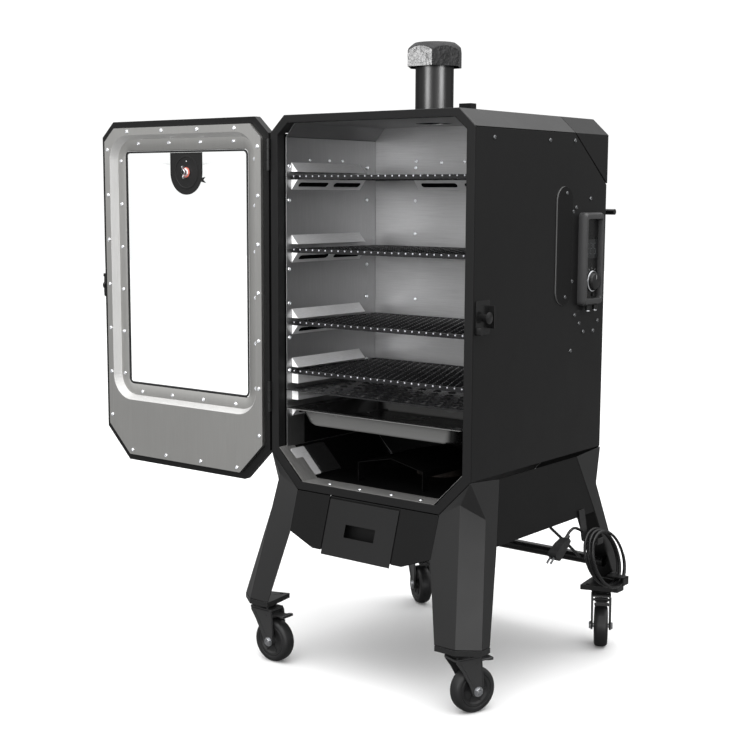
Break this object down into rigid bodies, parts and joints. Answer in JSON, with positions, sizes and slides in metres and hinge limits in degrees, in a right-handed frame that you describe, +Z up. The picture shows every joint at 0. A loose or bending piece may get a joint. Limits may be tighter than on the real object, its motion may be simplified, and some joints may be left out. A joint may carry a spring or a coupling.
{
  "type": "pellet smoker grill",
  "caption": "Upright eight-sided wood-pellet smoker cabinet on casters with a glazed swing door, slide-out racks and pans, rear pellet hopper, chimney and side controls.",
  "frame": {"origin": "on the floor under the middle of the cabinet, between the four casters", "axes": "+Z up, -Y out of the door opening, +X to the side with the controls; the door is shown swung open to -X"},
  "size_m": [1.1802, 0.6534, 1.361],
  "materials": {
    "powder_black": "satin powder coat",
    "chamber_steel": "brushed, slightly warm",
    "brushed_stainless": "fine vertical brushing",
    "zinc_steel": "bright zinc plate",
    "porcelain_black": "glossy porcelain enamel",
    "clear_glass": "clear, polished",
    "black_rubber": "matte",
    "black_plastic": "fine moulded texture",
    "cast_iron": "rough, heat darkened",
    "motor_steel": "satin",
    "gauge_steel": "black bracket with a plated nut",
    "caster_steel": "satin black",
    "caster_polymer": "hard smooth tread"
  },
  "bodies": {
    "cabinet": {"auger_motor": "motor_steel", "auger_tube": "powder_black", "base_aprons": "powder_black", "cabinet_screws": "zinc_steel", "chamber_back_liner": "chamber_steel", "chamber_liner": "chamber_steel", "chimney_stack": "powder_black", "controller_housing": "black_plastic", "fan_housing": "motor_steel", "fire_pot": "cast_iron", "flame_baffle": "powder_black", "front_frame": "powder_black", "hinge_leaves_and_pins": "powder_black", "hopper_bin": "chamber_steel", "latch_keeper": "powder_black", "left_side_panel": "powder_black", "legs_and_feet": "powder_black", "lower_liner": "powder_black", "power_cord": "black_rubber", "probe_jacks": "black_plastic", "rack_supports": "chamber_steel", "rear_crossbar": "powder_black", "rear_handle": "powder_black", "rear_panel": "powder_black", "right_side_panel": "powder_black", "roof_panel": "powder_black", "side_cover_plate": "powder_black"},
    "door": {"door_panel": "powder_black", "door_liner": "brushed_stainless", "window_glass": "clear_glass", "window_gasket": "black_rubber", "thermometer": "gauge_steel", "door_hinge_leaves": "powder_black", "door_screws": "zinc_steel"},
    "door_latch": {"door_latch": "powder_black"},
    "rack_1": {"rack_1": "porcelain_black"},
    "rack_2": {"rack_2": "porcelain_black"},
    "rack_3": {"rack_3": "porcelain_black"},
    "rack_4": {"rack_4": "porcelain_black"},
    "drip_tray": {"drip_tray": "porcelain_black"},
    "water_pan": {"water_pan": "porcelain_black"},
    "grease_drawer": {"grease_drawer": "porcelain_black"},
    "hopper_lid": {"hopper_lid": "powder_black"},
    "chimney_cap": {"chimney_cap": "powder_black"},
    "control_knob": {"control_knob": "black_plastic"},
    "power_button": {"power_button": "black_plastic"},
    "auger": {"auger": "zinc_steel"},
    "fan_impeller": {"fan_impeller": "motor_steel"},
    "caster_brake_fl": {"caster_brake_fl": "caster_steel"},
    "caster_brake_fr": {"caster_brake_fr": "caster_steel"},
    "caster_brake_rl": {"caster_brake_rl": "caster_steel"},
    "caster_brake_rr": {"caster_brake_rr": "caster_steel"},
    "caster_fork_fl": {"caster_fork_fl": "caster_steel"},
    "caster_fork_fr": {"caster_fork_fr": "caster_steel"},
    "caster_fork_rl": {"caster_fork_rl": "caster_steel"},
    "caster_fork_rr": {"caster_fork_rr": "caster_steel"},
    "caster_wheel_fl": {"caster_wheel_fl": "caster_polymer"},
    "caster_wheel_fr": {"caster_wheel_fr": "caster_polymer"},
    "caster_wheel_rl": {"caster_wheel_rl": "caster_polymer"},
    "caster_wheel_rr": {"caster_wheel_rr": "caster_polymer"}
  },
  "joints": [
    {"name": "door_hinge", "type": "hinge", "parent": "cabinet", "child": "door", "pos_m": [-0.2705, -0.267, 0.8], "axis": [0, 0, -1], "range_deg": [-179.1, 6]},
    {"name": "door_latch_turn", "type": "hinge", "parent": "door", "child": "door_latch", "pos_m": [-0.81117, -0.26049, 0.815], "axis": [0.9999, 0.0157, 0], "range_deg": [0, 90]},
    {"name": "rack_1_slide", "type": "slide", "parent": "cabinet", "child": "rack_1", "axis": [0, -1, 0], "range_m": [0, 0.25]},
    {"name": "rack_2_slide", "type": "slide", "parent": "cabinet", "child": "rack_2", "axis": [0, -1, 0], "range_m": [0, 0.25]},
    {"name": "rack_3_slide", "type": "slide", "parent": "cabinet", "child": "rack_3", "axis": [0, -1, 0], "range_m": [0, 0.25]},
    {"name": "rack_4_slide", "type": "slide", "parent": "cabinet", "child": "rack_4", "axis": [0, -1, 0], "range_m": [0, 0.25]},
    {"name": "drip_tray_slide", "type": "slide", "parent": "cabinet", "child": "drip_tray", "axis": [0, -1, 0], "range_m": [0, 0.25]},
    {"name": "water_pan_slide", "type": "slide", "parent": "cabinet", "child": "water_pan", "axis": [0, -1, 0], "range_m": [0, 0.22]},
    {"name": "grease_drawer_slide", "type": "slide", "parent": "cabinet", "child": "grease_drawer", "axis": [0, -1, 0], "range_m": [0, 0.12]},
    {"name": "hopper_lid_hinge", "type": "hinge", "parent": "cabinet", "child": "hopper_lid", "pos_m": [0, 0.269, 1.061], "axis": [-1, 0, 0], "range_deg": [0, 100]},
    {"name": "chimney_cap_lift", "type": "slide", "parent": "cabinet", "child": "chimney_cap", "axis": [0, 0, 1], "range_m": [0, 0.02]},
    {"name": "control_knob_turn", "type": "hinge", "parent": "cabinet", "child": "control_knob", "pos_m": [0.28, 0.19, 0.85], "axis": [1, 0, 0], "range_deg": [0, 270]},
    {"name": "power_button_press", "type": "slide", "parent": "cabinet", "child": "power_button", "axis": [-1, 0, 0], "range_m": [0, 0.0012]},
    {"name": "auger_spin", "type": "hinge", "parent": "cabinet", "child": "auger", "pos_m": [0, 0.14, 0.375], "axis": [0, 1, 0], "continuous": true},
    {"name": "fan_spin", "type": "hinge", "parent": "cabinet", "child": "fan_impeller", "pos_m": [-0.12, 0.17, 0.5], "axis": [0, 0, 1], "continuous": true},
    {"name": "caster_swivel_fl", "type": "hinge", "parent": "cabinet", "child": "caster_fork_fl", "pos_m": [-0.266, -0.288, 0.126], "axis": [0, 0, 1], "continuous": true},
    {"name": "caster_roll_fl", "type": "hinge", "parent": "caster_fork_fl", "child": "caster_wheel_fl", "pos_m": [-0.238, -0.288, 0.048], "axis": [0, 1, 0], "continuous": true},
    {"name": "caster_brake_press_fl", "type": "hinge", "parent": "caster_fork_fl", "child": "caster_brake_fl", "pos_m": [-0.242, -0.288, 0.108], "axis": [0, 1, 0], "range_deg": [0, 12]},
    {"name": "caster_swivel_fr", "type": "hinge", "parent": "cabinet", "child": "caster_fork_fr", "pos_m": [0.266, -0.288, 0.126], "axis": [0, 0, 1], "continuous": true},
    {"name": "caster_roll_fr", "type": "hinge", "parent": "caster_fork_fr", "child": "caster_wheel_fr", "pos_m": [0.27635, -0.26198, 0.048], "axis": [-0.9291, 0.3697, 0], "continuous": true},
    {"name": "caster_brake_press_fr", "type": "hinge", "parent": "caster_fork_fr", "child": "caster_brake_fr", "pos_m": [0.27487, -0.2657, 0.108], "axis": [-0.9291, 0.3697, 0], "range_deg": [0, 12]},
    {"name": "caster_swivel_rl", "type": "hinge", "parent": "cabinet", "child": "caster_fork_rl", "pos_m": [-0.266, 0.288, 0.126], "axis": [0, 0, 1], "continuous": true},
    {"name": "caster_roll_rl", "type": "hinge", "parent": "caster_fork_rl", "child": "caster_wheel_rl", "pos_m": [-0.24287, 0.27222, 0.048], "axis": [0.5635, 0.8261, 0], "continuous": true},
    {"name": "caster_brake_press_rl", "type": "hinge", "parent": "caster_fork_rl", "child": "caster_brake_rl", "pos_m": [-0.24617, 0.27448, 0.108], "axis": [0.5635, 0.8261, 0], "range_deg": [0, 12]},
    {"name": "caster_swivel_rr", "type": "hinge", "parent": "cabinet", "child": "caster_fork_rr", "pos_m": [0.266, 0.288, 0.126], "axis": [0, 0, 1], "continuous": true},
    {"name": "caster_roll_rr", "type": "hinge", "parent": "caster_fork_rr", "child": "caster_wheel_rr", "pos_m": [0.28, 0.26375, 0.048], "axis": [0.866, 0.5, 0], "continuous": true},
    {"name": "caster_brake_press_rr", "type": "hinge", "parent": "caster_fork_rr", "child": "caster_brake_rr", "pos_m": [0.278, 0.26722, 0.108], "axis": [0.866, 0.5, 0], "range_deg": [0, 12]}
  ]
}
